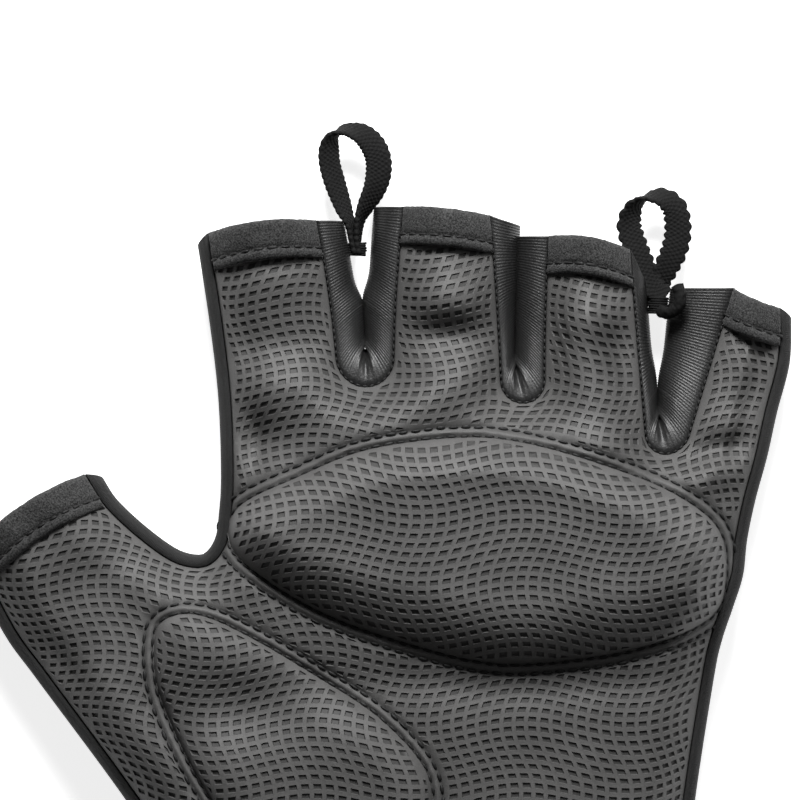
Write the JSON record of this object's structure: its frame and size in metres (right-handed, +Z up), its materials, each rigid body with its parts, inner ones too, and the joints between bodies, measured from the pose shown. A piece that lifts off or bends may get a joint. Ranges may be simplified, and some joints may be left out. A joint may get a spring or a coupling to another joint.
{
  "type": "fingerless weightlifting glove",
  "caption": "Fingerless left-hand training glove lying palm up, with a padded embossed palm, ribbed knit finger gussets, folded hems, pull loops and a wrist closure.",
  "frame": {"origin": "under the middle of the palm, on the flat back that the glove rests on", "axes": "+X towards the little finger, +Y towards the fingertips, +Z up out of the palm"},
  "size_m": [0.153, 0.1745, 0.03],
  "materials": {
    "palm_leather": "embossed grey synthetic leather, satin",
    "back_cloth": "black stretch cloth, matt",
    "rib_knit": "black fine rib knit with a slight sheen",
    "hem_suede": "charcoal brushed cloth, matt",
    "webbing": "black woven tape"
  },
  "bodies": {
    "root": {"palm_panel": "palm_leather", "palm_pad": "palm_leather", "thenar_pad": "palm_leather", "back_panel": "back_cloth", "cuff": "back_cloth", "index_middle_gusset": "rib_knit", "middle_ring_gusset": "rib_knit", "ring_little_gusset": "rib_knit", "index_hem": "hem_suede", "middle_hem": "hem_suede", "ring_hem": "hem_suede", "little_hem": "hem_suede", "thumb_hem": "hem_suede", "index_middle_pull_loop": "webbing", "ring_little_pull_loop": "webbing", "wrist_tab": "webbing"}
  },
  "joints": []
}
